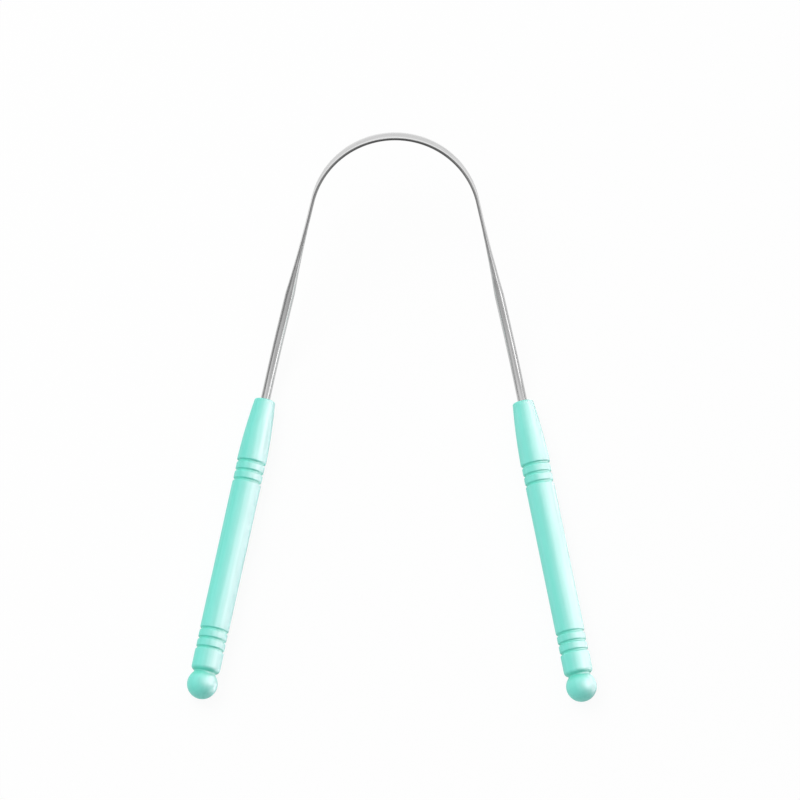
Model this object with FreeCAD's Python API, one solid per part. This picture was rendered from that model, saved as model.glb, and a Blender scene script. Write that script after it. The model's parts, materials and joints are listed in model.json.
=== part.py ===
"""Tongue scraper: one steel wire rolled flat and bent into a bow, with two moulded handles.

Lengths are in millimetres and angles in degrees. The scraper lies on its handles, with +X towards
the right handle, +Y from the ball ends towards the bow and +Z up. The origin is the middle of its
footprint, on the surface that it lies on.
"""
import FreeCAD
import Part
import math
import os

# Steel wire
wire_diameter = 2.5
strip_thickness = 0.8
strip_width = 6.3
crown_share = 0.1               # of half the thickness: the slight crown of a rolled face

# Bow and legs
bow_radius = 22.1               # to the middle of the strip
leg_splay = 13.0                # of each leg from the line midway between them
flat_leg_length = 3.6
rolled_taper_length = 22.8      # from strip to round wire
round_leg_length = 7.5          # from the rolled taper to the bend
bend_radius = 37.0
bow_rise = 30.0                 # of the bow above the handles
leg_root_length = 3.0           # from the bend to the handle
thickening_power = 1.7          # a rolled taper thickens slowly at its flat end
taper_sections = 8

# Wire tail in the handle
tail_length = 44.0
tail_flat_length = 7.0
tail_flat_thickness = 1.6
tail_taper_length = 4.0
tail_clearance = 0.02

# Handle
handle_splay = 11.55            # of each handle from the line midway between them
mouth_radius = 2.75             # at the end that the wire comes out of
mouth_rounding = 0.45
nose_length = 17.45             # from the mouth to the first groove
nose_swell = 0.09               # of the nose's thick end, past the grip
nose_crown = 0.2                # of the nose, past a straight taper
grip_radius = 3.78
grip_length = 41.0              # between the grooves at its two ends
groove_count = 3                # at each end of the grip
groove_pitch = 2.55
groove_depth = 0.4
groove_rounding = 0.7
lip_rounding = 1.0
bead_drop = 0.04                # of the beads between grooves, below the grip
shoulder_rounding = 1.8
neck_radius = 2.85
neck_rounding = 0.5
ball_radius = 4.0
ball_reach = 9.3                # from the last groove to the middle of the ball

cut_overrun = 1.0

Vector = FreeCAD.Vector
right_way = Vector(1, 0, 0)
up_way = Vector(0, 0, 1)
wire_area = math.pi * wire_diameter ** 2 / 4


def rolled_area(thickness, width):
    """Area of a strip with half-round edges."""
    return thickness * (width - thickness) + math.pi * thickness ** 2 / 4


def rolled_width(thickness, area):
    """Width of a strip with half-round edges that has this area."""
    return thickness + (area - math.pi * thickness ** 2 / 4) / thickness


def section_wire(centre, way, wide_way, thickness, width):
    """Rolled section across a way: two crowned faces and two round edges, or a circle if the sizes agree."""
    thick_way = way.cross(wide_way)
    crown = crown_share * thickness / width
    edge_radius = thickness / 2 * (1 - crown_share + crown)
    edge_place = width / 2 - edge_radius
    corner_angle = math.atan2(1 + 2 * crown, 2 * crown * (1 + crown))
    corner_wide = edge_place + edge_radius * math.cos(corner_angle)
    corner_thick = edge_radius * math.sin(corner_angle)

    def point(wide, thick):
        return centre + wide_way * wide + thick_way * thick

    corners = [
        point(corner_wide, -corner_thick),
        point(corner_wide, corner_thick),
        point(-corner_wide, corner_thick),
        point(-corner_wide, -corner_thick),
    ]
    crests = [
        point(width / 2, 0),
        point(0, thickness / 2),
        point(-width / 2, 0),
        point(0, -thickness / 2),
    ]
    arcs = []
    for corner, crest, next_corner in zip(corners, crests, corners[1:] + corners[:1]):
        arcs.append(Part.Arc(corner, crest, next_corner).toShape())
    return Part.Wire(arcs)


def rolled_run(start, way, wide_way, length, thickness, width):
    """Straight run of one rolled section."""
    return Part.Face(section_wire(start, way, wide_way, thickness, width)).extrude(way * length)


def rolled_taper(flat_end, way, wide_way, length, flat_thickness, flat_area, allowance=0):
    """Loft from a rolled flat to round wire, where what the thickness loses has spread into the width."""
    wires = []
    for index in range(taper_sections):
        share = index / (taper_sections - 1)
        thickness = flat_thickness + (wire_diameter - flat_thickness) * share ** thickening_power
        width = rolled_width(thickness, flat_area + (wire_area - flat_area) * share)
        centre = flat_end + way * (length * share)
        wires.append(section_wire(centre, way, wide_way, thickness + 2 * allowance, width + 2 * allowance))
    return Part.makeLoft(wires, True)


def tail_solids(mouth, way, allowance=0, lead=0):
    """Wire in a handle, from a lead before its mouth to a pressed flat, grown by an allowance."""
    wide_way = up_way
    round_length = tail_length - tail_taper_length - tail_flat_length
    round_size = wire_diameter + 2 * allowance
    flat_start = mouth + way * (round_length + tail_taper_length)
    flat_width = rolled_width(tail_flat_thickness, wire_area) + 2 * allowance
    flat_size = tail_flat_thickness + 2 * allowance
    return [
        rolled_run(mouth - way * lead, way, wide_way, lead + round_length, round_size, round_size),
        rolled_taper(flat_start, -way, wide_way, tail_taper_length,
                     tail_flat_thickness, wire_area, allowance),
        rolled_run(flat_start, way, wide_way, tail_flat_length + allowance, flat_size, flat_width),
    ]


def unite(solids):
    """One solid of solids that meet face to face."""
    return solids[0].multiFuse(solids[1:]).removeSplitter()


def mirrored(shape):
    """The same shape on the other side."""
    return shape.mirror(Vector(0, 0, 0), right_way)


class Layout:
    """Where the right half of the wire runs, with the middle of the bow's arc at zero."""

    def __init__(self):
        splay = math.radians(leg_splay)
        rise = math.radians(bow_rise)
        spread = math.radians(handle_splay)
        self.apex_way = Vector(0, math.cos(rise), math.sin(rise))
        self.bow_axis = right_way.cross(self.apex_way)
        self.leg_way = right_way * math.sin(splay) - self.apex_way * math.cos(splay)
        self.handle_way = Vector(math.sin(spread), -math.cos(spread), 0)
        self.shoulder = (right_way * math.cos(splay) + self.apex_way * math.sin(splay)) * bow_radius
        self.taper_start = self.shoulder + self.leg_way * flat_leg_length
        self.round_start = self.taper_start + self.leg_way * rolled_taper_length
        self.bend_start = self.round_start + self.leg_way * round_leg_length
        self.bend_axis = self.leg_way.cross(self.handle_way).normalize()
        self.bend_angle = math.degrees(self.leg_way.getAngle(self.handle_way))
        self.bend_centre = self.bend_start + self.bend_axis.cross(self.leg_way) * bend_radius
        turn = FreeCAD.Rotation(self.bend_axis, self.bend_angle)
        self.bend_end = self.bend_centre + turn.multVec(self.bend_start - self.bend_centre)
        self.mouth = self.bend_end + self.handle_way * leg_root_length


def make_bow(layout):
    """Flat bow, two legs that turn from strip to round wire and bend down, and two tails."""
    strip_section = Part.Face(
        section_wire(layout.shoulder, layout.leg_way, layout.bow_axis, strip_thickness, strip_width))
    bow_turn = 180 - 2 * leg_splay
    bow = strip_section.revolve(Vector(0, 0, 0), layout.bow_axis, bow_turn)
    round_section = Part.Face(
        section_wire(layout.bend_start, layout.leg_way, layout.bow_axis, wire_diameter, wire_diameter))
    leg = [
        strip_section.extrude(layout.leg_way * flat_leg_length),
        rolled_taper(layout.taper_start, layout.leg_way, layout.bow_axis, rolled_taper_length,
                     strip_thickness, rolled_area(strip_thickness, strip_width)),
        rolled_run(layout.round_start, layout.leg_way, layout.bow_axis, round_leg_length,
                   wire_diameter, wire_diameter),
        round_section.revolve(layout.bend_centre, layout.bend_axis, layout.bend_angle),
    ]
    leg += tail_solids(layout.mouth, layout.handle_way, lead=leg_root_length)
    return unite([bow] + leg + [mirrored(solid) for solid in leg])


class Profile:
    """Half section of a handle: distance along its axis from the mouth, and radius."""

    def __init__(self, mouth, way):
        self.mouth = mouth
        self.way = way
        self.edges = []

    def point(self, along, radius):
        return self.mouth + self.way * along + up_way * radius

    def line(self, start, end):
        self.edges.append(Part.LineSegment(self.point(*start), self.point(*end)).toShape())

    def arc_through(self, start, middle, end):
        points = [self.point(*place) for place in (start, middle, end)]
        self.edges.append(Part.Arc(*points).toShape())

    def arc(self, centre, radius, from_angle, to_angle):
        """Arc between two angles, in radians from the axis towards the outside."""
        def on_arc(angle):
            return (centre[0] + radius * math.cos(angle), centre[1] + radius * math.sin(angle))
        self.arc_through(on_arc(from_angle), on_arc((from_angle + to_angle) / 2), on_arc(to_angle))

    def revolved(self):
        return Part.Face(Part.Wire(self.edges)).revolve(self.mouth, self.way, 360)


def lip_angle(crest_radius, rounding):
    """Angle that a groove's wall leans to, where a rounded lip runs into the rounded groove."""
    depth = crest_radius - (grip_radius - groove_depth)
    return math.acos(1 - depth / (rounding + groove_rounding))


def lip_reach(crest_radius, rounding):
    """Distance along the handle from a groove's middle to the crest of the lip beside it."""
    return (rounding + groove_rounding) * math.sin(lip_angle(crest_radius, rounding))


def bead_rounding():
    """Radius of the beads, so that each one fills the space between two grooves."""
    half_pitch = groove_pitch / 2
    wall_angle = 2 * math.atan2(groove_depth - bead_drop, half_pitch)
    return half_pitch / math.sin(wall_angle) - groove_rounding


def draw_rings(profile, first_groove, crest_before, crest_after):
    """Grooves with round beads between them, from the lip before the first to the lip after the last."""
    crests = [(crest_before, lip_rounding)]
    crests += [(grip_radius - bead_drop, bead_rounding())] * (groove_count - 1)
    crests += [(crest_after, lip_rounding)]
    upright = math.pi / 2
    for index in range(groove_count):
        groove = first_groove + index * groove_pitch
        radius_before, rounding_before = crests[index]
        radius_after, rounding_after = crests[index + 1]
        angle_before = lip_angle(radius_before, rounding_before)
        angle_after = lip_angle(radius_after, rounding_after)
        place_before = groove - lip_reach(radius_before, rounding_before)
        place_after = groove + lip_reach(radius_after, rounding_after)
        profile.arc((place_before, radius_before - rounding_before), rounding_before,
                    upright, upright - angle_before)
        profile.arc((groove, grip_radius - groove_depth + groove_rounding), groove_rounding,
                    -upright - angle_before, -upright + angle_after)
        profile.arc((place_after, radius_after - rounding_after), rounding_after,
                    upright + angle_after, upright)


def draw_ball_end(profile, collar_start, ball_centre):
    """Collar, rounded shoulder, neck and ball, each running smoothly into the next."""
    neck_height = neck_radius + neck_rounding
    neck_place = ball_centre - math.sqrt((ball_radius + neck_rounding) ** 2 - neck_height ** 2)
    shoulder_height = grip_radius - shoulder_rounding
    climb = neck_height - shoulder_height
    shoulder_place = neck_place - math.sqrt((shoulder_rounding + neck_rounding) ** 2 - climb ** 2)
    shoulder_angle = math.atan2(climb, neck_place - shoulder_place)
    ball_angle = math.atan2(neck_height, neck_place - ball_centre)
    profile.line((collar_start, grip_radius), (shoulder_place, grip_radius))
    profile.arc((shoulder_place, shoulder_height), shoulder_rounding, math.pi / 2, shoulder_angle)
    profile.arc((neck_place, neck_height), neck_rounding, math.pi + shoulder_angle, math.pi + ball_angle)
    profile.arc((ball_centre, 0), ball_radius, ball_angle, 0)


def make_handle(layout):
    """Right handle: one turned form with grooves and a ball end, moulded round the wire's tail."""
    profile = Profile(layout.mouth, layout.handle_way)
    nose_end_radius = grip_radius + nose_swell
    nose_end = nose_length - lip_reach(nose_end_radius, lip_rounding)
    nose_start = (mouth_rounding, mouth_radius)
    nose_middle = ((mouth_rounding + nose_end) / 2, (mouth_radius + nose_end_radius) / 2 + nose_crown)
    band_length = (groove_count - 1) * groove_pitch
    lower_rings = nose_length + band_length + grip_length
    ball_centre = lower_rings + band_length + ball_reach
    lip = lip_reach(grip_radius, lip_rounding)

    profile.line((0, 0), (0, mouth_radius - mouth_rounding))
    profile.arc((mouth_rounding, mouth_radius - mouth_rounding), mouth_rounding, math.pi, math.pi / 2)
    profile.arc_through(nose_start, nose_middle, (nose_end, nose_end_radius))
    draw_rings(profile, nose_length, nose_end_radius, grip_radius)
    profile.line((nose_length + band_length + lip, grip_radius), (lower_rings - lip, grip_radius))
    draw_rings(profile, lower_rings, grip_radius, grip_radius)
    draw_ball_end(profile, lower_rings + band_length + lip, ball_centre)
    profile.line((ball_centre + ball_radius, 0), (0, 0))
    cavity = unite(tail_solids(layout.mouth, layout.handle_way, tail_clearance, cut_overrun))
    return profile.revolved().cut(cavity)


def main():
    layout = Layout()
    right_handle = make_handle(layout)
    nodes = {
        "steel_bow": make_bow(layout),
        "left_handle": mirrored(right_handle),
        "right_handle": right_handle,
    }
    box = FreeCAD.BoundBox()
    for shape in nodes.values():
        box.add(shape.optimalBoundingBox(False))
    os.makedirs("parts", exist_ok=True)
    for name, shape in nodes.items():
        shape.translate(Vector(0, -box.Center.y, -box.ZMin))
        shape.exportStep("parts/" + name + ".step")


main()
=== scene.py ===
"""Tongue scraper: a steel bow with two moulded handles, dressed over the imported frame.

Laid out as an add-on and run as a script. Lengths are in metres and angles in radians, in the frame of
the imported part: +X towards the right handle, +Y from the ball ends towards the bow and +Z up.
"""
import collections
import json
import math

import bmesh
import bpy
from mathutils import Matrix, Vector

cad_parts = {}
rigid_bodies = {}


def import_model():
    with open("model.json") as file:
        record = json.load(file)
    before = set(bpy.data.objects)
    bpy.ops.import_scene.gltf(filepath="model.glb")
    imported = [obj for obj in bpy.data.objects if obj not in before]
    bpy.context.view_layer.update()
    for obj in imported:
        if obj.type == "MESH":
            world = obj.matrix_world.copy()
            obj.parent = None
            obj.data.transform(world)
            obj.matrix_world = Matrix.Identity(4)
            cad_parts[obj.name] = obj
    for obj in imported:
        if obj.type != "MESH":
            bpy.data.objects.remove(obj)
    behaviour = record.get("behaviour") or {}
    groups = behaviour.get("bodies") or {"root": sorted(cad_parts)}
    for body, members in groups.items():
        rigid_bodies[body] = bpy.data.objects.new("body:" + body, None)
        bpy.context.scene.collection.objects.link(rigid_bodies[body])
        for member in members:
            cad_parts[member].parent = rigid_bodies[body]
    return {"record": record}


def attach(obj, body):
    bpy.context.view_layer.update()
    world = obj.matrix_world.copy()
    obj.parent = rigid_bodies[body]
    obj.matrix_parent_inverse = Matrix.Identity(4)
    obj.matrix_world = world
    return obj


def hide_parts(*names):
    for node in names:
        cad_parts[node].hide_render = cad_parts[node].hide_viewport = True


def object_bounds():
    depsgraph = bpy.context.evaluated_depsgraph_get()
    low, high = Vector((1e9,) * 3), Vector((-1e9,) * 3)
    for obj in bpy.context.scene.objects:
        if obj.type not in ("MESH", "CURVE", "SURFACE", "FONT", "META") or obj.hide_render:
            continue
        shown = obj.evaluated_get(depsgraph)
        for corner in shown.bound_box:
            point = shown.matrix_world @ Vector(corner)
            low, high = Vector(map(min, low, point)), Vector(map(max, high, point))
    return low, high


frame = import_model()
cad_low, cad_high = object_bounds()

bl_info = {
    "name": "Tongue Scraper",
    "version": (1, 0, 0),
    "blender": (4, 5, 0),
    "location": "3D View > Sidebar > Scraper",
    "description": "Builds a tongue scraper with a rolled steel bow and two moulded handles",
    "category": "Object",
}

MILLIMETRE = 0.001
BODY = "root"
SIDES = {"left": -1, "right": 1}
HANDLE_ENDING = "_grip_moulding"

RIGHT = Vector((1, 0, 0))
UP = Vector((0, 0, 1))
mounts = {mount["name"]: mount for mount in frame["record"]["mounts"]}
hook_place = Vector(mounts["bow_hook"]["pos_m"])

# Mesh fineness
EDGE_POINTS = 20                # round each round edge of a section
FACE_POINTS = 4                 # across each flat face of a section
BOW_STEPS = 54                  # from the top of the bow to its shoulder
TAPER_STEPS = 28
TAIL_TAPER_STEPS = 6
BEND_STEPS = 14
ARC_STEP = math.radians(9)      # along the rounded forms of a handle
LINE_STEP = 2.0 * MILLIMETRE    # along the straight forms of a handle
SAME_PLACE = 0.001 * MILLIMETRE
UNIT_DIAMETER = 2.0             # of a ring with a radius of 1
SHARP_ANGLE = math.radians(50)
DARK_BAND_REACH = math.radians(74)   # from the middle of a rolled edge to where its painted dark reflection ends
DARK_BAND_FADE = math.radians(20)    # over which the painted dark reflection fades out
EDGE_PAINT_REACH = 48 * MILLIMETRE    # from the top of the bow to where the painted dark edges and painted corner highlights fade out
EDGE_PAINT_POWER = 1.6
PLACE = "place"                 # mesh attribute: along the piece, and two ways across it
MASK = "mask"                   # mesh attribute: painted dark edges and painted corner highlights of the bow, painted shade in a handle's grooves


# Properties

def length(name, millimetres, description):
    """Property for a length, with its default given in millimetres."""
    return bpy.props.FloatProperty(
        name=name, description=description, default=millimetres * MILLIMETRE,
        min=0.0, precision=5, unit="LENGTH")


def angle(name, degrees, description):
    """Property for an angle, with its default given in degrees."""
    return bpy.props.FloatProperty(
        name=name, description=description, default=math.radians(degrees), subtype="ANGLE")


def share(name, default, description):
    """Property for a share from none to all."""
    return bpy.props.FloatProperty(
        name=name, description=description, default=default, min=0.0, max=1.0, subtype="FACTOR")


def number(name, default, description):
    """Property for a plain number from zero up."""
    return bpy.props.FloatProperty(name=name, description=description, default=default, min=0.0)


def colour(name, default, description):
    """Property for a linear colour."""
    return bpy.props.FloatVectorProperty(
        name=name, description=description, default=default, size=3, min=0.0, max=1.0, subtype="COLOR")


class WireSizes(bpy.types.PropertyGroup):
    """Sizes of the steel wire, from the bow to its tails."""

    diameter: length("Wire diameter", 2.5, "Round wire, before any of it is rolled")
    strip_thickness: length("Strip thickness", 0.8, "Thickness of the rolled bow")
    strip_width: length("Strip width", 6.3, "Width of the rolled bow")
    crown_share: share("Crown", 0.1, "Crown of a rolled face, as a share of half its thickness")
    bow_radius: length("Bow radius", 22.1, "To the middle of the strip")
    leg_splay: angle("Leg splay", 13.0, "Of each leg from the line midway between them")
    flat_leg_length: length("Flat leg", 3.6, "From the bow's arc to the rolled taper")
    taper_length: length("Rolled taper", 22.8, "From strip to round wire")
    thickening_power: number("Thickening", 1.7, "How slowly the taper thickens at its flat end")
    round_leg_length: length("Round leg", 7.5, "From the rolled taper to the bend")
    bend_radius: length("Bend radius", 37.0, "Of the bend that lifts the bow")
    bow_rise: angle("Bow rise", 30.0, "Of the bow above the handles")
    root_length: length("Leg root", 3.0, "From the bend to the handle")
    tail_length: length("Tail", 44.0, "Wire inside each handle")
    tail_flat_length: length("Tail flat", 7.0, "Pressed end of the tail")
    tail_flat_thickness: length("Tail flat thickness", 1.6, "Of the pressed end")
    tail_taper_length: length("Tail taper", 4.0, "From round wire to the pressed end")


class HandleSizes(bpy.types.PropertyGroup):
    """Sizes of one moulded handle."""

    splay: angle("Handle splay", 11.55, "Of each handle from the line midway between them")
    bore_clearance: length("Bore clearance", 0.02, "Round the wire's tail")
    mouth_radius: length("Mouth radius", 2.75, "At the end that the wire comes out of")
    mouth_rounding: length("Mouth rounding", 0.45, "Of the rim round the wire")
    nose_length: length("Nose", 17.45, "From the mouth to the first groove")
    nose_swell: length("Nose swell", 0.09, "Of the nose's thick end, past the grip")
    nose_crown: length("Nose crown", 0.2, "Of the nose, past a straight taper")
    grip_radius: length("Grip radius", 3.78, "Of the plain grip")
    grip_length: length("Grip", 41.0, "Between the grooves at its two ends")
    groove_count: bpy.props.IntProperty(
        name="Grooves", description="Ring grooves at each end of the grip", default=3, min=1)
    groove_pitch: length("Groove pitch", 2.55, "From groove to groove")
    groove_depth: length("Groove depth", 0.4, "Below the grip")
    groove_rounding: length("Groove rounding", 0.34, "Of a groove's bottom")
    lip_rounding: length("Lip rounding", 0.3, "Of a groove's two lips")
    band_drop: length("Band drop", 0.04, "Of the bands between grooves, below the grip")
    shoulder_rounding: length("Shoulder rounding", 1.1, "Of the collar's end")
    neck_radius: length("Neck radius", 2.85, "Between the collar and the ball")
    neck_rounding: length("Neck rounding", 0.4, "Of the neck's hollow")
    ball_radius: length("Ball radius", 4.0, "Of the ball end")
    ball_reach: length("Ball reach", 9.3, "From the last groove to the middle of the ball")
    parting_height: length("Parting line", 0.025, "Height of the mould's parting line on each side")


class FinishSettings(bpy.types.PropertyGroup):
    """Colours and gloss of the steel and the plastic."""

    steel_light: colour("Steel, light lines", (0.70, 0.70, 0.70), "Bright lines of the drawn grain")
    steel_dark: colour("Steel, dark lines", (0.42, 0.42, 0.42), "Dull lines of the drawn grain")
    # Painted light: a dark reflection painted along the bow's edges, and a highlight painted on the corners
    # beside them
    painted_edge_dark: colour("Scraping edge", (0.11, 0.11, 0.11), "Dull edges of the bow")
    painted_corner_highlight: colour("Polished corner", (0.86, 0.86, 0.86), "Corners of the bow beside its edges")
    steel_roughness: share("Steel roughness", 0.27, "Of the drawn and rolled wire")
    grain_length: length("Grain length", 14.0, "Of the lines along the wire")
    grain_width: length("Grain width", 0.16, "Of the lines along the wire")
    plastic: colour("Plastic", (0.168, 0.738, 0.636), "Moulded plastic")
    # Darker tone of the flow lines, and the shade painted into the grooves, the neck and the bore
    plastic_flow_and_groove_shade: colour("Plastic, deep", (0.105, 0.665, 0.530), "Plastic in the grooves and flow lines")
    plastic_roughness: share("Plastic roughness", 0.52, "Soft gloss of the moulding")
    flow_length: length("Flow length", 30.0, "Of the faint flow lines along a handle")
    flow_width: length("Flow width", 0.8, "Of the faint flow lines along a handle")


class StageSettings(bpy.types.PropertyGroup):
    """Camera, light and floor."""

    camera_tilt: angle("Camera tilt", 14.0, "From straight down, towards the ball ends")
    camera_roll: angle("Camera roll", 0.4, "Turn of the camera about its line of sight")
    camera_distance: length("Camera distance", 2500.0, "From the camera to the middle of the view")
    view_width: length("View width", 210.4, "Width of what the camera sees at the middle of the view")
    view_x: length("View across", 1.60, "Middle of the view, towards the right handle")
    view_y: length("View along", 7.68, "Middle of the view, towards the bow")
    view_z: length("View height", 4.0, "Middle of the view, above the floor")
    key_power: number("Key lamp", 2.6, "Soft lamp behind at the left, in watts")
    front_fill: number("Front fill", 1.6, "Soft lamp in front that fills the ball ends, in watts")
    high_panel: number("High panel", 6.5, "Radiance of the high panel that gives the handles gloss")
    low_panel: number("Low panel", 8.5, "Radiance of the low panel that gives the handles gloss")
    back_panel: number("Back panel", 3.0, "Radiance of the panel that gives gloss behind the bow")
    front_panel: number("Front panel", 0.25, "Radiance of the panel that shows along the top of the legs")
    leg_strip: number("Leg strip", 1.7, "Radiance of the strip that shows along the legs")
    handle_strip: number("Handle strip", 32.0, "Radiance of the strip that shows along the handles")
    panel_tint: colour("Panel tint", (1.0, 0.54, 0.65), "Of the standing panels that give the handles gloss")
    grey_card: number("Grey card", 0.3, "Brightness of the card that shows in the left leg")
    bright_light: number("Bright side", 1.16, "Strength of the surround on its bright side")
    light_fall: number("Light fall", 1.25, "How fast the surround dims away from its bright side")
    floor_panel: number("Floor panels", 9.2, "Radiance of the panels that give the handles gloss low down")
    floor_tint: colour("Floor tint", (1.0, 0.64, 0.74), "Of the panels that give the handles gloss low down")
    floor_lift: share("Floor lift", 0.92, "How far the floor is lifted to white where it is seen")
    floor_seen: share("Floor white", 0.98, "White of the floor where it is seen")
    floor_bounce: share("Floor bounce", 0.65, "White of the floor in the light that it sends up")


class ScraperSettings(bpy.types.PropertyGroup):
    """All settings of the scraper and its stage."""

    wire: bpy.props.PointerProperty(name="Wire", description="Steel wire", type=WireSizes)
    handle: bpy.props.PointerProperty(name="Handle", description="Moulded handle", type=HandleSizes)
    finish: bpy.props.PointerProperty(name="Finish", description="Colours and gloss", type=FinishSettings)
    stage: bpy.props.PointerProperty(name="Stage", description="Camera and light", type=StageSettings)


# Meshes

class RingBody:
    """Surface made of rings of points, with a place and a mask value kept for each point."""

    def __init__(self):
        self.points = []
        self.places = []
        self.masks = []
        self.rings = []

    def add(self, points, places, masks):
        first = len(self.points)
        self.points += points
        self.places += places
        self.masks += masks
        self.rings.append(range(first, len(self.points)))

    def faces(self):
        """Four-sided faces between rings, fans to rings of one point, and a cap on an open end."""
        made = []
        for ring, after in zip(self.rings, self.rings[1:]):
            for index in range(max(len(ring), len(after))):
                beside = index + 1
                corners = [
                    ring[index % len(ring)],
                    ring[beside % len(ring)],
                    after[beside % len(after)],
                    after[index % len(after)],
                ]
                made.append(list(dict.fromkeys(corners)))
        made += [list(ring) for ring in (self.rings[0], self.rings[-1]) if len(ring) > 1]
        return made

    def make(self, name, material):
        """New object that rides on the part's body."""
        mesh = bpy.data.meshes.new(name)
        mesh.from_pydata(self.points, [], self.faces())
        shell = bmesh.new()
        shell.from_mesh(mesh)
        bmesh.ops.recalc_face_normals(shell, faces=shell.faces)
        shell.to_mesh(mesh)
        shell.free()
        mesh.shade_smooth()
        mesh.set_sharp_from_angle(angle=SHARP_ANGLE)
        places = mesh.attributes.new(PLACE, "FLOAT_VECTOR", "POINT")
        places.data.foreach_set("vector", [value for place in self.places for value in place])
        masks = mesh.attributes.new(MASK, "FLOAT", "POINT")
        masks.data.foreach_set("value", self.masks)
        mesh.materials.append(material)
        piece = bpy.data.objects.new(name, mesh)
        bpy.context.scene.collection.objects.link(piece)
        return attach(piece, BODY)


def mirrored(point, side):
    """The point itself on the right, and its mirror image on the left."""
    return Vector((side * point.x, point.y, point.z))


def section_points(thickness, width, crown_share):
    """Points round a rolled section, as distances across its width and across its thickness.

    It has two round edges and two crowned faces, and is a circle if both sizes agree.
    """
    crown = crown_share * thickness / width
    edge_radius = thickness / 2 * (1 - crown_share + crown)
    edge_place = width / 2 - edge_radius
    corner_angle = math.atan2(1 + 2 * crown, 2 * crown * (1 + crown))
    corner_wide = edge_place + edge_radius * math.cos(corner_angle)
    sag = thickness / 2 - edge_radius * math.sin(corner_angle)
    face_radius = (corner_wide ** 2 + sag ** 2) / (2 * sag)
    face_place = thickness / 2 - face_radius
    half = []
    for index in range(EDGE_POINTS):
        turn = corner_angle * (2 * index / EDGE_POINTS - 1)
        half.append((edge_place + edge_radius * math.cos(turn), edge_radius * math.sin(turn)))
    for index in range(FACE_POINTS):
        turn = corner_angle + (math.pi - 2 * corner_angle) * index / FACE_POINTS
        half.append((face_radius * math.cos(turn), face_place + face_radius * math.sin(turn)))
    return half + [(-wide, -thick) for wide, thick in half]


def rolled_area(thickness, width):
    """Area of a strip with half-round edges."""
    return thickness * (width - thickness) + math.pi * thickness ** 2 / 4


def rolled_width(thickness, area):
    """Width of a strip with half-round edges that has this area."""
    return thickness + (area - math.pi * thickness ** 2 / 4) / thickness


def rolled_sizes(wire, flat_thickness, flat_area, rolled_share):
    """Thickness and width of a rolled taper, at a share of the way from its flat end to round wire."""
    wire_area = math.pi * wire.diameter ** 2 / 4
    spread = rolled_share ** wire.thickening_power
    thickness = flat_thickness + (wire.diameter - flat_thickness) * spread
    return thickness, rolled_width(thickness, flat_area + (wire_area - flat_area) * rolled_share)


def tail_sections(wire):
    """Distance from the mouth, thickness and width of the wire's tail, down to its pressed end."""
    round_length = wire.tail_length - wire.tail_taper_length - wire.tail_flat_length
    wire_area = math.pi * wire.diameter ** 2 / 4
    sections = [(0, wire.diameter, wire.diameter)]
    for step in range(TAIL_TAPER_STEPS + 1):
        done = step / TAIL_TAPER_STEPS
        sizes = rolled_sizes(wire, wire.tail_flat_thickness, wire_area, 1 - done)
        sections.append((round_length + wire.tail_taper_length * done, *sizes))
    sections.append((wire.tail_length, *sections[-1][1:]))
    return sections


# Steel bow

Station = collections.namedtuple("Station", "centre wide_way thick_way thickness width along")


class WirePath:
    """Stations along the right half of the wire, from the top of the bow to the end of its tail."""

    def __init__(self, wire, handle):
        self.wire = wire
        self.stations = []
        self.apex_way = Vector((0, math.cos(wire.bow_rise), math.sin(wire.bow_rise)))
        self.bow_axis = RIGHT.cross(self.apex_way)
        self.leg_way = RIGHT * math.sin(wire.leg_splay) - self.apex_way * math.cos(wire.leg_splay)
        self.handle_way = Vector((math.sin(handle.splay), -math.cos(handle.splay), 0))
        self.lay_bow()
        self.lay_leg()
        self.lay_bend()
        self.mouth = self.stations[-1].centre + self.handle_way * wire.root_length
        self.lay_tail()

    def add(self, centre, way, wide_way, thickness, width):
        along = 0
        if self.stations:
            last = self.stations[-1]
            along = last.along + (centre - last.centre).length
        self.stations.append(Station(centre, wide_way, way.cross(wide_way), thickness, width, along))

    def lay_bow(self):
        wire = self.wire
        middle = hook_place - self.apex_way * (wire.bow_radius - wire.strip_thickness / 2)
        for step in range(BOW_STEPS + 1):
            turn = (math.pi / 2 - wire.leg_splay) * step / BOW_STEPS
            outward = RIGHT * math.sin(turn) + self.apex_way * math.cos(turn)
            way = RIGHT * math.cos(turn) - self.apex_way * math.sin(turn)
            self.add(middle + outward * wire.bow_radius, way, self.bow_axis,
                     wire.strip_thickness, wire.strip_width)

    def lay_leg(self):
        wire = self.wire
        flat_end = self.stations[-1].centre + self.leg_way * wire.flat_leg_length
        flat_area = rolled_area(wire.strip_thickness, wire.strip_width)
        for step in range(TAPER_STEPS + 1):
            done = step / TAPER_STEPS
            centre = flat_end + self.leg_way * (wire.taper_length * done)
            sizes = rolled_sizes(wire, wire.strip_thickness, flat_area, done)
            self.add(centre, self.leg_way, self.bow_axis, *sizes)
        self.add(self.stations[-1].centre + self.leg_way * wire.round_leg_length,
                 self.leg_way, self.bow_axis, wire.diameter, wire.diameter)

    def lay_bend(self):
        wire = self.wire
        start = self.stations[-1].centre
        bend_axis = self.leg_way.cross(self.handle_way).normalized()
        bend_angle = self.leg_way.angle(self.handle_way)
        middle = start + bend_axis.cross(self.leg_way) * wire.bend_radius
        for step in range(1, BEND_STEPS + 1):
            turn = Matrix.Rotation(bend_angle * step / BEND_STEPS, 3, bend_axis)
            self.add(middle + turn @ (start - middle), turn @ self.leg_way, turn @ self.bow_axis,
                     wire.diameter, wire.diameter)

    def lay_tail(self):
        for distance, thickness, width in tail_sections(self.wire):
            self.add(self.mouth + self.handle_way * distance, self.handle_way, UP, thickness, width)


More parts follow.
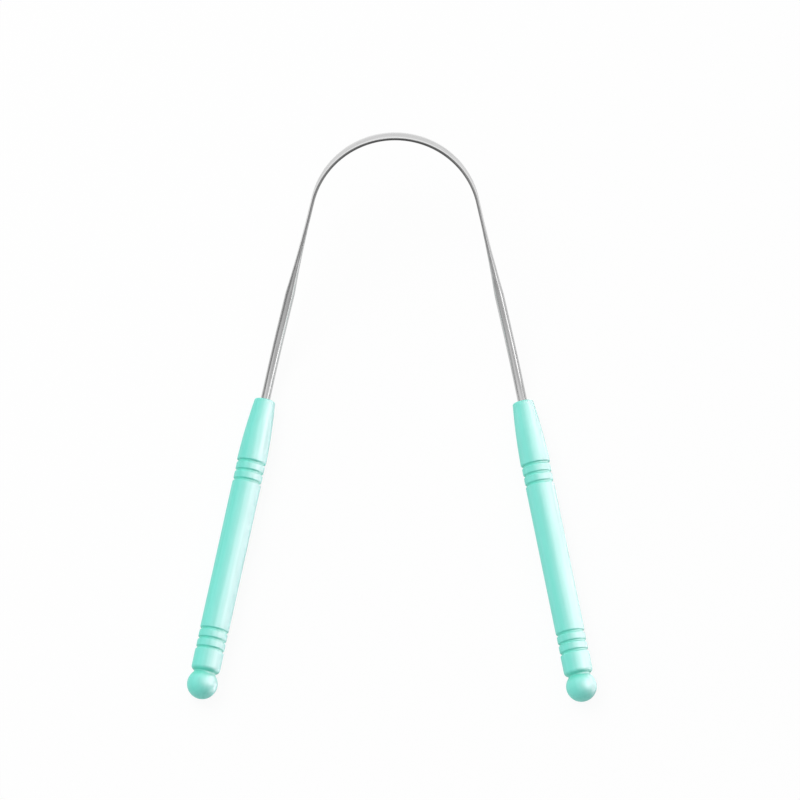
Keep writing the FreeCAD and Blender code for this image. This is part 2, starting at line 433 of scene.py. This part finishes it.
def painted_edge_masks(along):
    """For each point of a section, 1 where a dark reflection is painted on the bow's edges and -1 where a
    highlight is painted on its corners, both fading away from the top of the bow.
    """
    edge_paint = max(0, 1 - (along / EDGE_PAINT_REACH) ** EDGE_PAINT_POWER)
    half = [-edge_paint]
    for index in range(1, EDGE_POINTS):
        turn = math.pi / 2 * (2 * index / EDGE_POINTS - 1)
        half.append(edge_paint * min(1, max(0, (DARK_BAND_REACH - abs(turn)) / DARK_BAND_FADE)))
    half += [-edge_paint] + [0] * (FACE_POINTS - 1)
    return half + half


def wire_ring(station, side, crown_share):
    """Points of one section of the wire, and their places along and across it."""
    points = []
    places = []
    for wide, thick in section_points(station.thickness, station.width, crown_share):
        point = station.centre + station.wide_way * wide + station.thick_way * thick
        points.append(mirrored(point, side))
        places.append((side * station.along, wide, thick))
    return points, places, painted_edge_masks(station.along)


def make_steel_bow(settings):
    """One wire from the left tail over the bow to the right tail."""
    wire = settings.wire
    stations = WirePath(wire, settings.handle).stations
    body = RingBody()
    for station in reversed(stations[1:]):
        body.add(*wire_ring(station, SIDES["left"], wire.crown_share))
    for station in stations:
        body.add(*wire_ring(station, SIDES["right"], wire.crown_share))
    bow = body.make("bow_wire", make_steel(settings.finish))
    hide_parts("steel_bow")
    return bow


# Handles

def circle_through(first, second, third):
    """Middle and radius of the circle through three points."""
    (ax, ay), (bx, by), (cx, cy) = first, second, third
    twice_area = 2 * (ax * (by - cy) + bx * (cy - ay) + cx * (ay - by))
    squares = (ax ** 2 + ay ** 2, bx ** 2 + by ** 2, cx ** 2 + cy ** 2)
    x = (squares[0] * (by - cy) + squares[1] * (cy - ay) + squares[2] * (ay - by)) / twice_area
    y = (squares[0] * (cx - bx) + squares[1] * (ax - cx) + squares[2] * (bx - ax)) / twice_area
    return (x, y), math.hypot(ax - x, ay - y)


class HandleOutline:
    """Half section of a handle, as points of distance along its axis from the mouth, and radius."""

    def __init__(self, handle):
        self.handle = handle
        self.points = []
        self.nose_end_radius = handle.grip_radius + handle.nose_swell
        self.band_length = (handle.groove_count - 1) * handle.groove_pitch
        self.upper_rings = handle.nose_length
        self.lower_rings = self.upper_rings + self.band_length + handle.grip_length
        self.ball_middle = self.lower_rings + self.band_length + handle.ball_reach
        lip = self.lip_reach(handle.grip_radius)
        self.draw_nose()
        self.draw_rings(self.upper_rings, self.nose_end_radius)
        self.line_to(self.lower_rings - lip, handle.grip_radius)
        self.draw_rings(self.lower_rings, handle.grip_radius)
        self.draw_ball_end()

    def add(self, along, radius):
        if not self.points or math.dist(self.points[-1], (along, radius)) > SAME_PLACE:
            self.points.append((along, radius))

    def line_to(self, along, radius):
        start = self.points[-1]
        steps = math.ceil(math.dist(start, (along, radius)) / LINE_STEP)
        for step in range(1, steps + 1):
            done = step / steps
            self.add(start[0] + (along - start[0]) * done, start[1] + (radius - start[1]) * done)

    def arc(self, middle, radius, from_angle, to_angle):
        """Arc between two angles from the axis, with steps short in angle and in length."""
        sweep = abs(to_angle - from_angle)
        steps = math.ceil(max(sweep / ARC_STEP, sweep * radius / LINE_STEP))
        for step in range(steps + 1):
            turn = from_angle + (to_angle - from_angle) * step / steps
            self.add(middle[0] + radius * math.cos(turn), middle[1] + radius * math.sin(turn))

    def lip_angle(self, crest_radius):
        """Angle that a groove's wall leans to, where a rounded lip runs into the rounded groove."""
        handle = self.handle
        depth = crest_radius - (handle.grip_radius - handle.groove_depth)
        return math.acos(1 - depth / (handle.lip_rounding + handle.groove_rounding))

    def lip_reach(self, crest_radius):
        """Distance along the handle from a groove's middle to the crest of the lip beside it."""
        handle = self.handle
        return (handle.lip_rounding + handle.groove_rounding) * math.sin(self.lip_angle(crest_radius))

    def draw_nose(self):
        handle = self.handle
        rounding = handle.mouth_rounding
        nose_end = handle.nose_length - self.lip_reach(self.nose_end_radius)
        start = (rounding, handle.mouth_radius)
        end = (nose_end, self.nose_end_radius)
        crest = ((start[0] + end[0]) / 2, (start[1] + end[1]) / 2 + handle.nose_crown)
        self.arc((rounding, handle.mouth_radius - rounding), rounding, math.pi, math.pi / 2)
        middle, radius = circle_through(start, crest, end)
        angles = [math.atan2(point[1] - middle[1], point[0] - middle[0]) for point in (start, end)]
        self.arc(middle, radius, *angles)

    def draw_rings(self, first_groove, crest_before):
        """Grooves with narrow bands between them, from the lip before the first to the lip after the last."""
        handle = self.handle
        bands = [handle.grip_radius - handle.band_drop] * (handle.groove_count - 1)
        crests = [crest_before, *bands, handle.grip_radius]
        groove_height = handle.grip_radius - handle.groove_depth + handle.groove_rounding
        rounding = handle.lip_rounding
        upright = math.pi / 2
        for index, (before, after) in enumerate(zip(crests, crests[1:])):
            groove = first_groove + index * handle.groove_pitch
            angle_before = self.lip_angle(before)
            angle_after = self.lip_angle(after)
            self.arc((groove - self.lip_reach(before), before - rounding), rounding,
                     upright, upright - angle_before)
            self.arc((groove, groove_height), handle.groove_rounding,
                     -upright - angle_before, -upright + angle_after)
            self.arc((groove + self.lip_reach(after), after - rounding), rounding,
                     upright + angle_after, upright)

    def draw_ball_end(self):
        """Collar, rounded shoulder, neck and ball, each running smoothly into the next."""
        handle = self.handle
        neck_height = handle.neck_radius + handle.neck_rounding
        neck_run = (handle.ball_radius + handle.neck_rounding) ** 2 - neck_height ** 2
        neck_place = self.ball_middle - math.sqrt(neck_run)
        shoulder_height = handle.grip_radius - handle.shoulder_rounding
        climb = neck_height - shoulder_height
        shoulder_run = (handle.shoulder_rounding + handle.neck_rounding) ** 2 - climb ** 2
        shoulder_place = neck_place - math.sqrt(shoulder_run)
        shoulder_angle = math.atan2(climb, neck_place - shoulder_place)
        ball_angle = math.atan2(neck_height, neck_place - self.ball_middle)
        self.line_to(shoulder_place, handle.grip_radius)
        self.arc((shoulder_place, shoulder_height), handle.shoulder_rounding, math.pi / 2, shoulder_angle)
        self.arc((neck_place, neck_height), handle.neck_rounding,
                 math.pi + shoulder_angle, math.pi + ball_angle)
        self.arc((self.ball_middle, 0), handle.ball_radius, ball_angle, 0)

    def groove_mask(self, along, radius):
        """How deep a point lies in a groove or in the neck, which sets how much shade is painted there."""
        handle = self.handle
        if not handle.nose_length - handle.groove_pitch < along < self.ball_middle:
            return 0
        return min(1, max(0, (handle.grip_radius - radius) / handle.groove_depth))


class HandleBody(RingBody):
    """Outside of a handle from its ball end to its mouth, and on into the bore round the wire's tail."""

    def __init__(self, settings, side):
        super().__init__()
        self.settings = settings
        self.side = side
        path = WirePath(settings.wire, settings.handle)
        self.mouth = path.mouth
        self.way = path.handle_way
        self.side_way = path.handle_way.cross(UP)
        self.unit_ring = section_points(UNIT_DIAMETER, UNIT_DIAMETER, settings.wire.crown_share)
        self.add_outside()
        self.add_bore()

    def add_ring(self, along, offsets, mask):
        points = []
        places = []
        for height, sideways in offsets:
            point = self.mouth + self.way * along + UP * height + self.side_way * sideways
            points.append(mirrored(point, self.side))
            places.append((self.side * along, sideways, height))
        self.add(points, places, [mask] * len(points))

    def parted_ring(self, radius):
        """Ring of the moulding, with the mould's parting line raised on both of its sides."""
        parting = EDGE_POINTS + FACE_POINTS // 2
        offsets = []
        for index, (height, sideways) in enumerate(self.unit_ring):
            on_line = index % (EDGE_POINTS + FACE_POINTS) == parting
            reach = radius + (self.settings.handle.parting_height if on_line else 0)
            offsets.append((height * reach, sideways * reach))
        return offsets

    def add_outside(self):
        outline = HandleOutline(self.settings.handle)
        pole = outline.points[-1][0]
        self.add_ring(pole, [(0, 0)], 0)
        for along, radius in reversed(outline.points[:-1]):
            self.add_ring(along, self.parted_ring(radius), outline.groove_mask(along, radius))

    def add_bore(self):
        wire = self.settings.wire
        clearance = self.settings.handle.bore_clearance
        for along, thickness, width in tail_sections(wire):
            sizes = (thickness + 2 * clearance, width + 2 * clearance)
            # The bore takes the full painted groove shade
            self.add_ring(along, section_points(*sizes, wire.crown_share), 1)


def make_handles(settings):
    """Left and right handles, which are mirror images and share one plastic."""
    material = make_plastic(settings.finish)
    for name, side in SIDES.items():
        handle = HandleBody(settings, side).make(name + HANDLE_ENDING, material)
        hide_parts(name + "_handle")


# Materials

GRAIN_NOISE = {"Scale": 1.0, "Detail": 3.0, "Roughness": 0.6}
GRAIN_RANGE = {"From Min": 0.3, "From Max": 0.7}
MARKS_NOISE = {"Scale": 1.0, "Detail": 4.0, "Roughness": 0.55, "Distortion": 0.6}
MARKS_RANGE = {"From Min": 0.48, "From Max": 0.72}
STEEL_MARKS_SIZE = 9.0 * MILLIMETRE
STEEL_MARKS_DULLING = 0.06      # roughness that a handling mark adds
DULL_LINE = 0.06                # roughness that a dull line of the grain adds
BRIGHT_LINE = 0.04              # roughness that a bright line of the grain takes away
GRAIN_BUMP = {"Strength": 0.35, "Distance": 0.004 * MILLIMETRE}
PLASTIC_MARKS_SIZE = 12.0 * MILLIMETRE
PLASTIC_MARKS_DULLING = 0.05    # roughness that a handling mark adds
FLOW_DEPTH = 0.4                # share of the deep colour in a flow line
SKIN_SIZE = 0.35 * MILLIMETRE
SKIN_DETAIL = 2.0
SKIN_DULLING = 0.03             # roughness that the skin adds in one place and takes away in another
SKIN_BUMP = {"Strength": 0.2, "Distance": 0.01 * MILLIMETRE}
PLASTIC_SPECULAR = 0.8
COAT_SHARE = 0.4                # of the glossier coat between the flow lines
COAT_ROUGHNESS = 0.36
MIX_FIRST = 6                   # sockets of a Mix node that mixes colours
MIX_SECOND = 7
MIX_RESULT = 2


def node(tree, kind, inputs=None, **settings):
    """New node, with inputs that are values or other nodes' outputs."""
    made = tree.nodes.new(kind)
    for name, value in settings.items():
        setattr(made, name, value)
    for name, value in (inputs or {}).items():
        if isinstance(value, bpy.types.NodeSocket):
            tree.links.new(value, made.inputs[name])
        else:
            made.inputs[name].default_value = value
    return made


def opaque(rgb):
    """Colour with full alpha, as node sockets take it."""
    return (*rgb, 1.0)


def mapped(tree, value, inputs=None, **settings):
    """Value mapped from one range to another, each of them from 0 to 1 unless the inputs say more."""
    return node(tree, "ShaderNodeMapRange", {"Value": value, **(inputs or {})}, **settings).outputs["Result"]


def blended(tree, factor, first, second):
    """Colour between two others, by a factor from 0 to 1."""
    mix = node(tree, "ShaderNodeMix", {"Factor": factor, MIX_FIRST: first, MIX_SECOND: second},
               data_type="RGBA")
    return mix.outputs[MIX_RESULT]


def new_material(name):
    """Empty node material."""
    material = bpy.data.materials.new(name)
    material.use_nodes = True
    material.node_tree.nodes.clear()
    return material, material.node_tree


def new_group(name, inputs, output):
    """Empty shader node group with float or vector inputs and one value put out."""
    tree = bpy.data.node_groups.new(name, "ShaderNodeTree")
    for label, kind in inputs.items():
        tree.interface.new_socket(label, in_out="INPUT", socket_type=kind)
    tree.interface.new_socket(output, in_out="OUTPUT", socket_type="NodeSocketFloat")
    return tree, tree.nodes.new("NodeGroupInput"), tree.nodes.new("NodeGroupOutput")


def stretched_grain_group():
    """Group: fine lines that run along a piece, from 0 to 1."""
    name = "Stretched Grain"
    if name in bpy.data.node_groups:
        return bpy.data.node_groups[name]
    inputs = {"Place": "NodeSocketVector", "Length": "NodeSocketFloat", "Width": "NodeSocketFloat"}
    tree, given, result = new_group(name, inputs, "Grain")
    spread = node(tree, "ShaderNodeCombineXYZ", {
        "X": given.outputs["Length"], "Y": given.outputs["Width"], "Z": given.outputs["Width"]})
    scaled = node(tree, "ShaderNodeVectorMath", {0: given.outputs["Place"], 1: spread.outputs[0]},
                  operation="DIVIDE")
    noise = node(tree, "ShaderNodeTexNoise", {"Vector": scaled.outputs[0], **GRAIN_NOISE})
    lines = mapped(tree, noise.outputs["Fac"], GRAIN_RANGE)
    tree.links.new(lines, result.inputs["Grain"])
    return tree


def handling_marks_group():
    """Group: soft patches where fingers have dulled the gloss, from 0 to 1."""
    name = "Handling Marks"
    if name in bpy.data.node_groups:
        return bpy.data.node_groups[name]
    tree, given, result = new_group(name, {"Place": "NodeSocketVector", "Size": "NodeSocketFloat"}, "Marks")
    scaled = node(tree, "ShaderNodeVectorMath", {0: given.outputs["Place"], 1: given.outputs["Size"]},
                  operation="DIVIDE")
    noise = node(tree, "ShaderNodeTexNoise", {"Vector": scaled.outputs[0], **MARKS_NOISE})
    patches = mapped(tree, noise.outputs["Fac"], MARKS_RANGE, interpolation_type="SMOOTHSTEP")
    tree.links.new(patches, result.inputs["Marks"])
    return tree


def placed(tree, group, inputs):
    """Group placed in a material, with its own values."""
    return node(tree, "ShaderNodeGroup", inputs, node_tree=group)


def make_steel(finish):
    """Drawn and rolled stainless steel: grain along the wire, a dark reflection painted along the bow's edges
    and a highlight painted on its corners.
    """
    material, tree = new_material("drawn_steel")
    place = node(tree, "ShaderNodeAttribute", attribute_name=PLACE).outputs["Vector"]
    edge_paint = node(tree, "ShaderNodeAttribute", attribute_name=MASK).outputs["Fac"]
    # Painted dark reflection where the mask is above 0, painted highlight where it is below 0
    dull = mapped(tree, edge_paint)
    corner_paint = mapped(tree, edge_paint, {"From Max": -1.0})
    grain = placed(tree, stretched_grain_group(), {
        "Place": place, "Length": finish.grain_length, "Width": finish.grain_width}).outputs["Grain"]
    marks = placed(tree, handling_marks_group(), {"Place": place, "Size": STEEL_MARKS_SIZE}).outputs["Marks"]
    lines = blended(tree, grain, opaque(finish.steel_dark), opaque(finish.steel_light))
    # Painted highlight on the bow's corners, then painted dark reflection along its edges
    highlighted = blended(tree, corner_paint, lines, opaque(finish.painted_corner_highlight))
    edge_darkened = blended(tree, dull, highlighted, opaque(finish.painted_edge_dark))
    roughness = mapped(tree, grain, {
        "To Min": finish.steel_roughness + DULL_LINE, "To Max": finish.steel_roughness - BRIGHT_LINE})
    marked = node(tree, "ShaderNodeMath", {0: marks, 1: STEEL_MARKS_DULLING, 2: roughness},
                  operation="MULTIPLY_ADD")
    bump = node(tree, "ShaderNodeBump", {"Height": grain, **GRAIN_BUMP})
    shader = node(tree, "ShaderNodeBsdfPrincipled", {
        "Base Color": edge_darkened, "Metallic": 1.0, "Roughness": marked.outputs[0],
        "Normal": bump.outputs["Normal"]})
    node(tree, "ShaderNodeOutputMaterial", {"Surface": shader.outputs[0]})
    return material


def make_plastic(finish):
    """Moulded plastic with a fine skin, and a soft gloss that faint flow lines break up; shade is painted
    into the grooves and the neck as a deeper colour.
    """
    material, tree = new_material("mint_plastic")
    place = node(tree, "ShaderNodeAttribute", attribute_name=PLACE).outputs["Vector"]
    groove = node(tree, "ShaderNodeAttribute", attribute_name=MASK).outputs["Fac"]
    flow = placed(tree, stretched_grain_group(), {
        "Place": place, "Length": finish.flow_length, "Width": finish.flow_width}).outputs["Grain"]
    marks = placed(tree, handling_marks_group(), {
        "Place": place, "Size": PLASTIC_MARKS_SIZE}).outputs["Marks"]
    # Deeper colour along the faint flow lines, and painted shade in the grooves, the neck and the bore
    depth = node(tree, "ShaderNodeMath", {0: flow, 1: FLOW_DEPTH, 2: groove},
                 operation="MULTIPLY_ADD", use_clamp=True)
    tinted = blended(tree, depth.outputs[0], opaque(finish.plastic), opaque(finish.plastic_flow_and_groove_shade))
    skin = node(tree, "ShaderNodeTexNoise", {
        "Vector": place, "Scale": 1 / SKIN_SIZE, "Detail": SKIN_DETAIL}).outputs["Fac"]
    gloss = mapped(tree, skin, {
        "To Min": finish.plastic_roughness - SKIN_DULLING, "To Max": finish.plastic_roughness + SKIN_DULLING})
    marked = node(tree, "ShaderNodeMath", {0: marks, 1: PLASTIC_MARKS_DULLING, 2: gloss},
                  operation="MULTIPLY_ADD")
    coat = mapped(tree, flow, {"To Min": COAT_SHARE, "To Max": 0.0})
    bump = node(tree, "ShaderNodeBump", {"Height": skin, **SKIN_BUMP})
    shader = node(tree, "ShaderNodeBsdfPrincipled", {
        "Base Color": tinted, "Roughness": marked.outputs[0], "Specular IOR Level": PLASTIC_SPECULAR,
        "Coat Weight": coat, "Coat Roughness": COAT_ROUGHNESS, "Normal": bump.outputs["Normal"]})
    node(tree, "ShaderNodeOutputMaterial", {"Surface": shader.outputs[0]})
    return material


def make_floor_white(stage):
    """White floor, lifted towards white where it is seen, so that it keeps a faint shadow."""
    material, tree = new_material("white_floor")
    path = node(tree, "ShaderNodeLightPath")
    seen = path.outputs["Is Camera Ray"]
    for kind in ("Is Glossy Ray", "Is Transmission Ray"):
        seen = node(tree, "ShaderNodeMath", {0: seen, 1: path.outputs[kind]}, operation="MAXIMUM").outputs[0]
    lift = node(tree, "ShaderNodeMath", {0: seen, 1: stage.floor_lift}, operation="MULTIPLY")
    tone = mapped(tree, seen, {"To Min": stage.floor_bounce, "To Max": stage.floor_seen})
    paper = node(tree, "ShaderNodeBsdfDiffuse", {"Color": tone})
    white = node(tree, "ShaderNodeEmission", {"Strength": 1.0})
    mixed = node(tree, "ShaderNodeMixShader", {
        0: lift.outputs[0], 1: paper.outputs[0], 2: white.outputs[0]})
    node(tree, "ShaderNodeOutputMaterial", {"Surface": mixed.outputs[0]})
    return material


# Stage

FLOOR_REACH = 10.0              # from the middle to each side
FLOOR_PANEL_GAP = 9.5 * MILLIMETRE                      # from a handle's axis to the panel beside it
FLOOR_PANEL_SIZE = (22 * MILLIMETRE, 110 * MILLIMETRE)  # across and along a handle
FLOOR_PANEL_LIFT = 0.5 * MILLIMETRE                     # above the floor
FLOOR_PANEL_SHIFT = 11 * MILLIMETRE                     # towards the bow, so that no ball shows its end
BRIGHT_AZIMUTH = 125            # of the surround's bright side, in degrees
BRIGHT_ELEVATION = 30
CARD_START = Vector((-79, -10, 0)) * MILLIMETRE
CARD_END = Vector((-67, 75, 0)) * MILLIMETRE
CARD_HEIGHT = 40 * MILLIMETRE

# Where lamps stand, seen from the middle of the view: angles in degrees and lengths in metres
LampSpot = collections.namedtuple("LampSpot", "azimuth elevation roll distance width height")
KEY_SPOT = LampSpot(140, 60, 0, 1.0, 0.6, 0.6)
FRONT_FILL_SPOT = LampSpot(-90, 10, 0, 1.0, 0.6, 0.6)
HIGH_PANEL_SPOT = LampSpot(15, 58, 0, 1.0, 1.1, 1.0)
LOW_PANEL_SPOT = LampSpot(15, 14, 0, 1.0, 1.4, 0.5)
BACK_PANEL_SPOT = LampSpot(90, 30, 0, 1.0, 0.8, 0.5)
FRONT_PANEL_SPOT = LampSpot(-90, 44, 0, 1.0, 1.6, 0.9)
LEG_STRIP_SPOT = LampSpot(-20, 25, 32, 0.94, 1.6, 0.5)
HANDLE_STRIP_SPOT = LampSpot(16, 27, -9, 1.0, 1.0, 0.1)


def make_floor(stage):
    """Wide floor that the scraper lies on."""
    corners = [(x * FLOOR_REACH, y * FLOOR_REACH, cad_low.z) for x, y in ((-1, -1), (1, -1), (1, 1), (-1, 1))]
    mesh = bpy.data.meshes.new("floor")
    mesh.from_pydata(corners, [], [range(len(corners))])
    mesh.materials.append(make_floor_white(stage))
    floor = bpy.data.objects.new("floor", mesh)
    bpy.context.scene.collection.objects.link(floor)


def aimed(place, target):
    """Turn that looks from a place to a target."""
    return (target - place).to_track_quat("-Z", "Y").to_matrix()


def direction(azimuth, elevation):
    """Unit vector at an azimuth turned from +X towards +Y and an elevation, both in degrees."""
    level = math.cos(math.radians(elevation))
    return Vector((
        math.cos(math.radians(azimuth)) * level,
        math.sin(math.radians(azimuth)) * level,
        math.sin(math.radians(elevation))))


def make_lamp(name, size, power, place, turn):
    """Soft rectangular lamp that the camera doesn't see."""
    light = bpy.data.lights.new(name, "AREA")
    light.shape = "RECTANGLE"
    light.size, light.size_y = size
    light.energy = power
    lamp = bpy.data.objects.new(name, light)
    lamp.matrix_world = Matrix.Translation(place) @ turn.to_4x4()
    lamp.visible_camera = False
    bpy.context.scene.collection.objects.link(lamp)
    return lamp


def make_panel(name, size, radiance, place, turn):
    """Panel that only shows as gloss, and adds no light of its own to a dull surface."""
    panel = make_lamp(name, size, radiance * math.pi * size[0] * size[1], place, turn)
    panel.visible_diffuse = False
    return panel


def stand(target, spot):
    """Place and turn of a lamp that stands at a spot and looks at the target."""
    place = target + direction(spot.azimuth, spot.elevation) * spot.distance
    return place, aimed(place, target) @ Matrix.Rotation(math.radians(spot.roll), 3, "Z")


def make_dull_lamp(name, target, spot, power):
    """Lamp that stands at a spot and looks at the target, and doesn't show as gloss."""
    lamp = make_lamp(name, (spot.width, spot.height), power, *stand(target, spot))
    lamp.visible_glossy = False
    return lamp


def make_standing_panel(name, target, spot, radiance):
    """Panel that stands at a spot and looks at the target."""
    return make_panel(name, (spot.width, spot.height), radiance, *stand(target, spot))


def make_floor_panel(side, radiance):
    """Panel that lies on the floor at the right of a handle and looks up."""
    grip = mounts[side + "_grip"]
    way = Vector(grip["axis"])
    right_way = UP.cross(way)
    across = FLOOR_PANEL_GAP + FLOOR_PANEL_SIZE[0] / 2
    place = Vector(grip["pos_m"]) + right_way * across - way * FLOOR_PANEL_SHIFT
    place.z = cad_low.z + FLOOR_PANEL_LIFT
    turn = Matrix((right_way, way, -UP)).transposed()
    return make_panel(side + "_floor_panel", FLOOR_PANEL_SIZE, radiance, place, turn)


def tint(panels, shade):
    """Give panels the colour of their light."""
    for panel in panels:
        panel.data.color = shade


def light_handles_alone(lamps):
    """Let these lamps light the handles and leave the steel as it is."""
    lit = bpy.data.collections.new("handles")
    for piece in bpy.context.scene.objects:
        if piece.name.endswith(HANDLE_ENDING):
            lit.objects.link(piece)
    for lamp in lamps:
        lamp.light_linking.receiver_collection = lit


def make_grey_card(stage):
    """Card that stands beside the left leg, and is seen only where it shows as gloss."""
    rise = UP * CARD_HEIGHT
    corners = [CARD_START, CARD_END, CARD_END + rise, CARD_START + rise]
    mesh = bpy.data.meshes.new("grey_card")
    mesh.from_pydata(corners, [], [range(len(corners))])
    material, tree = new_material("grey_card")
    grey = node(tree, "ShaderNodeEmission", {"Strength": stage.grey_card})
    node(tree, "ShaderNodeOutputMaterial", {"Surface": grey.outputs[0]})
    mesh.materials.append(material)
    card = bpy.data.objects.new("grey_card", mesh)
    card.visible_camera = False
    card.visible_diffuse = False
    card.visible_transmission = False
    card.visible_shadow = False
    bpy.context.scene.collection.objects.link(card)


def make_surround(stage):
    """World that is bright behind the bow at the left, and dims towards the front and right."""
    world = bpy.data.worlds.new("studio")
    world.use_nodes = True
    tree = world.node_tree
    tree.nodes.clear()
    way = node(tree, "ShaderNodeTexCoord").outputs["Generated"]
    bright_way = direction(BRIGHT_AZIMUTH, BRIGHT_ELEVATION)
    facing = node(tree, "ShaderNodeVectorMath", {0: way, 1: bright_way}, operation="DOT_PRODUCT")
    nearness = mapped(tree, facing.outputs["Value"], {"From Min": -1.0})
    fallen = node(tree, "ShaderNodeMath", {0: nearness, 1: stage.light_fall}, operation="POWER")
    strength = node(tree, "ShaderNodeMath", {0: fallen.outputs[0], 1: stage.bright_light},
                    operation="MULTIPLY")
    sky = node(tree, "ShaderNodeBackground", {"Color": opaque((1, 1, 1)), "Strength": strength.outputs[0]})
    node(tree, "ShaderNodeOutputWorld", {"Surface": sky.outputs[0]})
    bpy.context.scene.world = world


def make_camera(stage, target):
    """Camera at the viewing angle, with its lens set by the width of the view."""
    back = Vector((0, -math.sin(stage.camera_tilt), math.cos(stage.camera_tilt)))
    roll = Matrix.Rotation(stage.camera_roll, 3, back)
    across = roll @ RIGHT
    turn = Matrix((across, back.cross(across), back)).transposed()
    lens = bpy.data.cameras.new("camera")
    lens.lens = lens.sensor_width * stage.camera_distance / stage.view_width
    camera = bpy.data.objects.new("camera", lens)
    camera.matrix_world = Matrix.Translation(target + back * stage.camera_distance) @ turn.to_4x4()
    bpy.context.scene.collection.objects.link(camera)
    bpy.context.scene.camera = camera


def make_stage(settings):
    """Floor, lamps, card, surround and camera."""
    stage = settings.stage
    target = Vector((stage.view_x, stage.view_y, stage.view_z))
    make_floor(stage)
    make_dull_lamp("key_lamp", target, KEY_SPOT, stage.key_power)
    fill = make_dull_lamp("front_fill", target, FRONT_FILL_SPOT, stage.front_fill)
    make_standing_panel("back_panel", target, BACK_PANEL_SPOT, stage.back_panel)
    make_standing_panel("front_panel", target, FRONT_PANEL_SPOT, stage.front_panel)
    make_standing_panel("leg_strip", target, LEG_STRIP_SPOT, stage.leg_strip)
    floor_panels = [make_floor_panel(side, stage.floor_panel) for side in SIDES]
    standing_panels = [
        make_standing_panel("high_panel", target, HIGH_PANEL_SPOT, stage.high_panel),
        make_standing_panel("low_panel", target, LOW_PANEL_SPOT, stage.low_panel),
        make_standing_panel("handle_strip", target, HANDLE_STRIP_SPOT, stage.handle_strip)]
    tint(floor_panels, stage.floor_tint)
    tint(standing_panels, stage.panel_tint)
    light_handles_alone([fill, *floor_panels, *standing_panels])
    make_grey_card(stage)
    make_surround(stage)
    make_camera(stage, target)
    bpy.context.scene.view_settings.view_transform = "Standard"


# Operators and panel

class SCRAPER_OT_steel_bow(bpy.types.Operator):
    """Build the steel wire with its rolled bow"""

    bl_idname = "scraper.steel_bow"
    bl_label = "Steel Bow"

    def execute(self, context):
        make_steel_bow(context.scene.scraper)
        return {"FINISHED"}


class SCRAPER_OT_handles(bpy.types.Operator):
    """Build both moulded handles"""

    bl_idname = "scraper.handles"
    bl_label = "Handles"

    def execute(self, context):
        make_handles(context.scene.scraper)
        return {"FINISHED"}


class SCRAPER_OT_stage(bpy.types.Operator):
    """Build the floor, light and camera"""

    bl_idname = "scraper.stage"
    bl_label = "Stage"

    def execute(self, context):
        make_stage(context.scene.scraper)
        return {"FINISHED"}


class SCRAPER_PT_build(bpy.types.Panel):
    """Sidebar list of what can be built"""

    bl_idname = "SCRAPER_PT_build"
    bl_label = "Tongue Scraper"
    bl_space_type = "VIEW_3D"
    bl_region_type = "UI"
    bl_category = "Scraper"

    def draw(self, context):
        for operator in OPERATORS:
            self.layout.operator(operator.bl_idname)


GROUPS = (WireSizes, HandleSizes, FinishSettings, StageSettings, ScraperSettings)
OPERATORS = (SCRAPER_OT_steel_bow, SCRAPER_OT_handles, SCRAPER_OT_stage)
CLASSES = (*GROUPS, *OPERATORS, SCRAPER_PT_build)


def register():
    for each in CLASSES:
        bpy.utils.register_class(each)
    bpy.types.Scene.scraper = bpy.props.PointerProperty(
        name="Scraper", description="Settings of the tongue scraper", type=ScraperSettings)


def unregister():
    del bpy.types.Scene.scraper
    for each in reversed(CLASSES):
        bpy.utils.unregister_class(each)


def main():
    register()
    bpy.ops.scraper.steel_bow()
    bpy.ops.scraper.handles()
    bpy.ops.scraper.stage()


if __name__ == "__main__":
    main()
